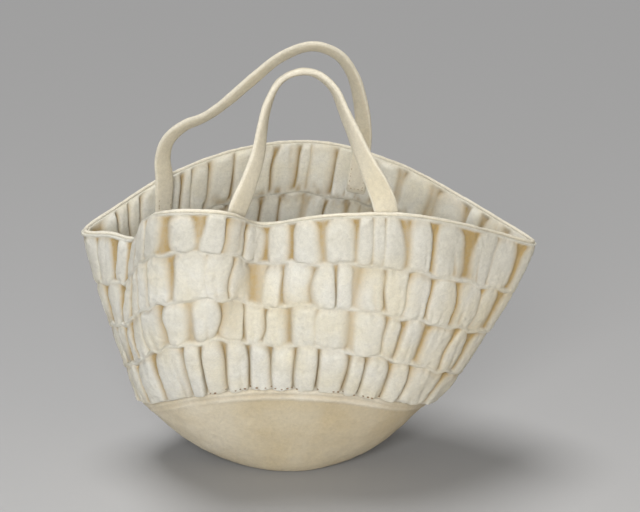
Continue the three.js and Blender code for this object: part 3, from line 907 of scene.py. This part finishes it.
bottom_total = band_line(0)[1][-1]
stitch_distance = np.arange(0, bottom_total - 1, STITCH_PITCH)
sewing = np.random.default_rng(8)
stitch_distance = stitch_distance[sewing.uniform(0, 1, len(stitch_distance)) < STITCHES_SHOWN]
stitch_distance += sewing.uniform(-STITCH_WANDER, STITCH_WANDER, len(stitch_distance))
stitch_distance = stitch_distance[None, :] % bottom_total
stitch_share = np.array([STITCH_UP])
stitch_u, stitch_v = band_place(0, stitch_distance, stitch_share)
stitch_middle = wall(stitch_u, stitch_v)
stitch_offset, _ = outside_offset(0, outer_pleats(0), stitch_distance, stitch_share, stitch_middle)
stitch_offset += THREAD_LIFT + sag(stitch_middle, stitch_u, stitch_v)
stitch_out = wall_out(stitch_u, stitch_v)
stitch_points = stitch_middle + stitch_out * stitch_offset[..., None]
# Nearer the sides the thread is drawn down out of sight.
shown = np.abs(stitch_points[..., 0] - FRONT_MIDDLE) < WELT_REACH
brown_thread = thread_material("brown thread", (0.30, 0.2, 0.11), (0.15, 0.095, 0.05))
seam_stitches = stitch_row(
    "seam_stitches", stitch_points[shown], wall_along(stitch_u, stitch_v)[shown], stitch_out[shown],
    STITCH_LENGTH, STITCH_THREAD, 5, brown_thread,
)
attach(seam_stitches, "root")


# Rim binding: a narrow strip of the finest, palest felt, folded over the top band's raw edge and
# sewn down, so that the mouth ends in a smooth rounded edge.

BINDING_RADIUS, BINDING_UNEVENNESS = 1.5, 1.6
BINDING_SIDES, RIM_POINTS = 18, 560
RIM_WANDER = ((0.35, 24, 51),)  # depth, size and seed of the rim's wandering in and out
RIPPLE_SCALE = 130  # how many ripples of the binding go to a metre


def binding_tree():
    """A rounded strip along a path, rippled a little by the sewing."""
    tree, identifiers = geometry_tree("folded binding", (
        ("Radius", "NodeSocketFloat"), ("Unevenness", "NodeSocketFloat"), ("Felt", "NodeSocketMaterial"),
    ))
    given = add_node(tree, "NodeGroupInput").outputs
    path = add_node(tree, "GeometryNodeMeshToCurve", {"Mesh": given["Geometry"]})
    rounding = {"Resolution": BINDING_SIDES, "Radius": given["Radius"]}
    section = add_node(tree, "GeometryNodeCurvePrimitiveCircle", rounding)
    sweep = {"Curve": path.outputs["Curve"], "Profile Curve": section.outputs["Curve"]}
    swept = add_node(tree, "GeometryNodeCurveToMesh", sweep)
    ripple = add_node(tree, "ShaderNodeTexNoise", {"Scale": RIPPLE_SCALE, "Detail": 2})
    centred = add_node(tree, "ShaderNodeMath", {0: ripple.outputs["Fac"], 1: 0.5}, operation="SUBTRACT")
    strength = {0: centred.outputs["Value"], 1: given["Unevenness"]}
    amount = add_node(tree, "ShaderNodeMath", strength, operation="MULTIPLY")
    facing = add_node(tree, "GeometryNodeInputNormal")
    pushing = {0: facing.outputs["Normal"], "Scale": amount.outputs["Value"]}
    push = add_node(tree, "ShaderNodeVectorMath", operation="SCALE")
    set_inputs(tree, push, pushing)
    moving = {"Geometry": swept.outputs["Mesh"], "Offset": push.outputs["Vector"]}
    moved = add_node(tree, "GeometryNodeSetPosition", moving)
    finish_tree(tree, moved.outputs["Geometry"], given["Felt"])
    return tree, identifiers


folding, folding_inputs = binding_tree()
rim_u = np.arange(RIM_POINTS) / RIM_POINTS
rim_line = wall(rim_u, 1) - wall_up(rim_u, 1) * BINDING_RADIUS
rim_line += wall_out(rim_u, 1) * lumpy(rim_line, RIM_WANDER)[:, None]
rim_edges = [(k, (k + 1) % RIM_POINTS) for k in range(RIM_POINTS)]
rim_mesh = bpy.data.meshes.new("rim path")
rim_mesh.from_pydata((rim_line / 1000).tolist(), rim_edges, [])
rim_path = bpy.data.objects.new("rim path", rim_mesh)
bpy.context.collection.objects.link(rim_path)
# The binding's felt is given a darker colour than the bands' wool, as painted shade that keeps the top-lit
# rim from showing brighter than the walls.
binding_felt = felt_material(
    "binding felt", (0.74, 0.7, 0.595), (0.72, 0.66, 0.52), (0.5, 0.4, 0.22), PALE_WOOL, 0.5, 1.2
)
folding_values = (BINDING_RADIUS / 1000, BINDING_UNEVENNESS / 1000, binding_felt)
rim_binding = sewn_mesh("felt_rim_binding", folding, folding_inputs, folding_values, rim_path)
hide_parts("rim_binding")
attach(rim_binding, "root")


# Handles: two straps of doubled felt. Their ends lie flat against the inside of the top band, where
# they are sewn on, and each strap turns on edge on its way up so that the hand holds its edges.

STRAP_WIDTH, STRAP_THICKNESS = 16.0, 6.0
FOOT_DEPTHS = np.array((0.77, 0.85, 0.93, 1.0))  # shares of the way up the wall that a sewn end follows
FOOT_INSET = 6.7  # how far inside the wall's middle a sewn end lies
FOOT_LENGTH, STRAP_END = 45.0, 9.0  # how far a strap keeps its foot's width, and its rounded end
STRAP_FLATNESS = (0.75, 0.85)  # below 1 the section is squarer than an oval
STRAP_SECTIONS, STRAP_SIDES = 180, 36
STRAP_STEPS, TURN_SMOOTHING = 1600, 25
HANDLES = (
    # node, room behind a foot, width of a foot, arch as x, y, z, turn in degrees
    ("handle_front", 0.4, 21.0, (
        (-31, -97, 276, -5), (-23, -91, 299, 3), (-19, -86, 321, 22), (-14, -80, 342, 39),
        (-4, -75, 359, 54), (12, -73, 366, 70), (26, -74, 364, 92), (39, -77, 353, 102),
        (47, -81, 336, 94), (56, -86, 316, 78), (67, -92, 292, 50), (77, -97, 271, 18),
    )),
    ("handle_back", 1.2, 18.0, (
        (-116, 60, 265, 8), (-110, 58, 283, 24), (-95, 57, 296, 42), (-75, 55, 305, 48),
        (-53, 54, 321, 42), (-31, 54, 340, 42), (-5, 55, 360, 50), (21, 57, 368, 58),
        (44, 62, 360, 60), (58, 69, 340, 54), (65, 77, 315, 42), (68, 86, 289, 22),
    )),
)
BLEACHED_END, BLEACHED_LENGTH = 0.55, 50.0  # how much paler a sewn end is, and how far up
EDGE_HIGHLIGHT = 0.35  # painted highlight along a strap's edges
STRAP_SEEDS = (61, 71)


def strap_frame(handle, count):
    """Middle, and along, across and through directions, of a strap at even places, and its length."""
    name, slack, _, arch = handle
    inset = FOOT_INSET + slack
    left_u, right_u = (np.full(len(FOOT_DEPTHS), foot / STATION_COUNT) for foot in STRAP_FEET[name][:2])
    left = wall(left_u, FOOT_DEPTHS) - wall_out(left_u, FOOT_DEPTHS) * inset
    right = (wall(right_u, FOOT_DEPTHS) - wall_out(right_u, FOOT_DEPTHS) * inset)[::-1]
    arch = np.array(arch, float)
    path_at = spline(np.vstack((left, arch[:, :3], right)), False)
    turns = np.pad(arch[:, 3], len(FOOT_DEPTHS))
    fine = np.linspace(0, 1, STRAP_STEPS + 1)
    length = np.concatenate(([0], np.cumsum(np.linalg.norm(np.diff(path_at(fine), axis=0), axis=1))))
    share = np.interp(np.linspace(0, length[-1], count), length, fine)
    along = unit(path_at(np.minimum(share + 0.003, 1)) - path_at(np.maximum(share - 0.003, 0)))
    turn = np.interp(share * (len(turns) - 1), np.arange(len(turns)), turns)
    window = np.hanning(TURN_SMOOTHING) / np.hanning(TURN_SMOOTHING).sum()
    turn = np.convolve(np.pad(turn, TURN_SMOOTHING // 2, "edge"), window, "valid")
    turn = np.radians(turn)[:, None]
    first, last = wall_out(left_u[:1], 1.0), wall_out(right_u[:1], 1.0)
    facing_out = first + (last - first) * share[:, None]
    flat = unit(np.cross(facing_out, along))
    wide = flat * np.cos(turn) + np.cross(along, flat) * np.sin(turn)
    return path_at(share), along, wide, unit(np.cross(wide, along)), length[-1]


def strap_sizes(handle, middle, length, seed):
    """Distance from the nearer end of each section of a strap, its width, and how thick it still is."""
    travelled = np.linspace(0, length, STRAP_SECTIONS)
    from_end = np.minimum(travelled, length - travelled)
    widening = (1 - ramp(from_end, FOOT_LENGTH, FOOT_LENGTH)) ** 1.5
    width = STRAP_WIDTH + (handle[2] - STRAP_WIDTH) * widening
    round_end = np.sqrt(np.clip(1 - (1 - ramp(from_end, 0, STRAP_END)) ** 2, 0.02, 1))
    return from_end, width + 0.7 * lumps(middle, 26, seed), round_end


def make_handle(handle, material, seed):
    middle, _, wide, thick, length = strap_frame(handle, STRAP_SECTIONS)
    from_end, width, round_end = strap_sizes(handle, middle, length, seed)
    angle = -2 * np.pi * np.arange(STRAP_SIDES) / STRAP_SIDES
    across = np.sign(np.cos(angle)) * np.abs(np.cos(angle)) ** STRAP_FLATNESS[0]
    through = np.sign(np.sin(angle)) * np.abs(np.sin(angle)) ** STRAP_FLATNESS[1]
    x = across[None, :] * (width / 2 - (1 - round_end) * 1.2)[:, None]
    y = STRAP_THICKNESS / 2 * (through[None, :] * round_end[:, None] - (1 - round_end)[:, None])
    loops = middle[:, None] + wide[:, None] * x[..., None] + thick[:, None] * y[..., None]
    sideways = wide[:, None] * (across / STRAP_WIDTH)[None, :, None]
    facing = unit(sideways + thick[:, None] * (through / STRAP_THICKNESS)[None, :, None])
    loops += facing * lumpy(loops, ((0.35, 13, seed + 1), (0.15, 4, seed + 2)))[..., None]
    points = np.vstack((loops.reshape(-1, 3), middle[0], middle[-1]))
    faces = ring_faces(STRAP_SECTIONS, STRAP_SIDES, False)
    start, end = len(points) - 2, len(points) - 1
    last = (STRAP_SECTIONS - 1) * STRAP_SIDES
    for side in range(STRAP_SIDES):
        beside = (side + 1) % STRAP_SIDES
        faces += [(start, beside, side), (end, last + side, last + beside)]
    # Painted highlight along the strap's edges.
    edge = EDGE_HIGHLIGHT * np.broadcast_to(np.abs(through)[None, :] < 0.6, x.shape)
    made_paler = BLEACHED_END * np.clip(1 - from_end / BLEACHED_LENGTH, 0, 1)[:, None]
    painted_light_and_wear = np.concatenate((np.maximum(edge, made_paler).ravel(), (0.3, 0.3)))
    piece = felt_piece("felt_" + handle[0], points, faces, material, 0 * painted_light_and_wear, painted_light_and_wear)
    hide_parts(handle[0])
    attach(piece, "root")


# The straps' felt is given a darker tan than the bands' wool, as painted shade that tones down the light from
# above on them.
strap_felt = felt_material(
    "strap felt", (0.64, 0.59, 0.47), (0.61, 0.545, 0.395), (0.35, 0.24, 0.11), PALE_WOOL, 0.65, 1.1
)
for handle, seed in zip(HANDLES, STRAP_SEEDS):
    make_handle(handle, strap_felt, seed)


# Strap stitches: small stitches of cream thread down both sides of each strap's sewn ends and across
# the bottom of them, which go through the strap and the top band.

FOOT_STITCH_PLACES = (3.5, 7.5, 11.5, 15.5, 19.5, 23.5)  # distances from the strap's end
FOOT_STITCH_EDGE, FOOT_STITCH_PITCH = 2.8, 3.6  # in from the strap's side, and across its end
FOOT_STITCH_LENGTH, FOOT_STITCH_THREAD = 2.4, 0.9


def foot_stitches(handle, seed):
    """Places, directions and facings of the stitches of both ends of a strap."""
    middle, along, wide, thick, length = strap_frame(handle, STRAP_SECTIONS)
    from_end, width, round_end = strap_sizes(handle, middle, length, seed)
    half = STRAP_SECTIONS // 2
    placed = []
    for start, end in ((0, half), (half, STRAP_SECTIONS)):
        for order, place in enumerate(FOOT_STITCH_PLACES):
            k = start + int(np.argmin(np.abs(from_end[start:end] - place)))
            side = width[k] / 2 - FOOT_STITCH_EDGE
            spots = np.arange(-side, side + 0.1, FOOT_STITCH_PITCH) if order == 0 else np.array((-side, side))
            for x in spots:
                cosine = abs(2 * x / width[k]) ** (1 / STRAP_FLATNESS[0])
                through = (1 - cosine**2) ** (STRAP_FLATNESS[1] / 2)
                y = STRAP_THICKNESS / 2 * (through * round_end[k] - (1 - round_end[k])) + THREAD_LIFT
                run = wide[k] if order == 0 else along[k]
                placed.append((middle[k] + wide[k] * x + thick[k] * y, run, thick[k]))
    return [np.array(column) for column in zip(*placed)]


foot_places, foot_runs, foot_facings = (
    np.concatenate(columns)
    for columns in zip(*(foot_stitches(handle, seed) for handle, seed in zip(HANDLES, STRAP_SEEDS)))
)
cream_thread = thread_material("cream thread", (0.52, 0.44, 0.3), (0.36, 0.28, 0.17))
strap_stitches = stitch_row(
    "strap_stitches", foot_places, foot_runs, foot_facings,
    FOOT_STITCH_LENGTH, FOOT_STITCH_THREAD, 9, cream_thread,
)
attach(strap_stitches, "root")


# Floor, light and camera: a wide plain pale floor, soft light from above, a soft lamp in front and a
# weak warm one at the right, and a camera at the photograph's angle, a little above the rim.

FLOOR_HALF_WIDTH = 9.0  # metres, as are the places of the lights and the camera
FLOOR_COLOUR = (0.325, 0.325, 0.33, 1)
LAMPS = (
    # name, place, aim, width, power, colour
    ("front light", (-0.2, -1.75, 0.7), (0, 0, 0.13), 1.0, 36, (1, 0.99, 0.965)),
    ("warm light", (1.2, -1.2, 0.4), (0.05, 0, 0.15), 0.8, 4, (1, 0.84, 0.58)),
)
SKY_POWER, SKY_SPREAD, SKY_COLOUR = 2.75, math.radians(28), (1, 0.99, 0.97)
SKY_DIRECTION = (0.25, -0.15, -1.5)
ROOM_LIGHT = 0.16
CAMERA_PITCH = math.radians(16)
CAMERA_DISTANCE = 1.345
CAMERA_AIM = (0.028, 0.0, 0.1895)
CAMERA_LENS, CAMERA_SENSOR = 85, 36  # millimetres

floor_mesh = bpy.data.meshes.new("floor")
floor_mesh.from_pydata(
    [(x * FLOOR_HALF_WIDTH, y * FLOOR_HALF_WIDTH, 0) for x, y in ((-1, -1), (1, -1), (1, 1), (-1, 1))],
    [],
    [(0, 1, 2, 3)],
)
paper = bpy.data.materials.new("pale paper")
paper.use_nodes = True
paper_shader = paper.node_tree.nodes["Principled BSDF"]
set_inputs(paper.node_tree, paper_shader, {"Base Color": FLOOR_COLOUR, "Roughness": 0.9})
floor_mesh.materials.append(paper)
floor = bpy.data.objects.new("floor", floor_mesh)
bpy.context.collection.objects.link(floor)


def shine(light, direction):
    """Hang a light so that it shines in that direction."""
    light.rotation_euler = Vector(direction).to_track_quat("-Z", "Y").to_euler()
    bpy.context.collection.objects.link(light)


sky = bpy.data.lights.new("light from above", "SUN")
sky.energy, sky.angle, sky.color = SKY_POWER, SKY_SPREAD, SKY_COLOUR
shine(bpy.data.objects.new("light from above", sky), SKY_DIRECTION)
for name, place, aim, width, power, colour in LAMPS:
    lamp = bpy.data.lights.new(name, "AREA")
    lamp.shape, lamp.size, lamp.energy, lamp.color = "DISK", width, power, colour
    hung = bpy.data.objects.new(name, lamp)
    hung.location = place
    shine(hung, Vector(aim) - Vector(place))
world = bpy.data.worlds.new("studio")
world.use_nodes = True
room = {"Color": (1, 1, 1, 1), "Strength": ROOM_LIGHT}
set_inputs(world.node_tree, world.node_tree.nodes["Background"], room)
bpy.context.scene.world = world
bpy.context.scene.view_settings.view_transform = "Standard"

camera_data = bpy.data.cameras.new("camera")
camera_data.lens, camera_data.sensor_width = CAMERA_LENS, CAMERA_SENSOR
camera = bpy.data.objects.new("camera", camera_data)
camera.location = (
    CAMERA_AIM[0],
    CAMERA_AIM[1] - CAMERA_DISTANCE * math.cos(CAMERA_PITCH),
    CAMERA_AIM[2] + CAMERA_DISTANCE * math.sin(CAMERA_PITCH),
)
camera.rotation_euler = (math.pi / 2 - CAMERA_PITCH, 0, 0)
bpy.context.collection.objects.link(camera)
bpy.context.scene.camera = camera
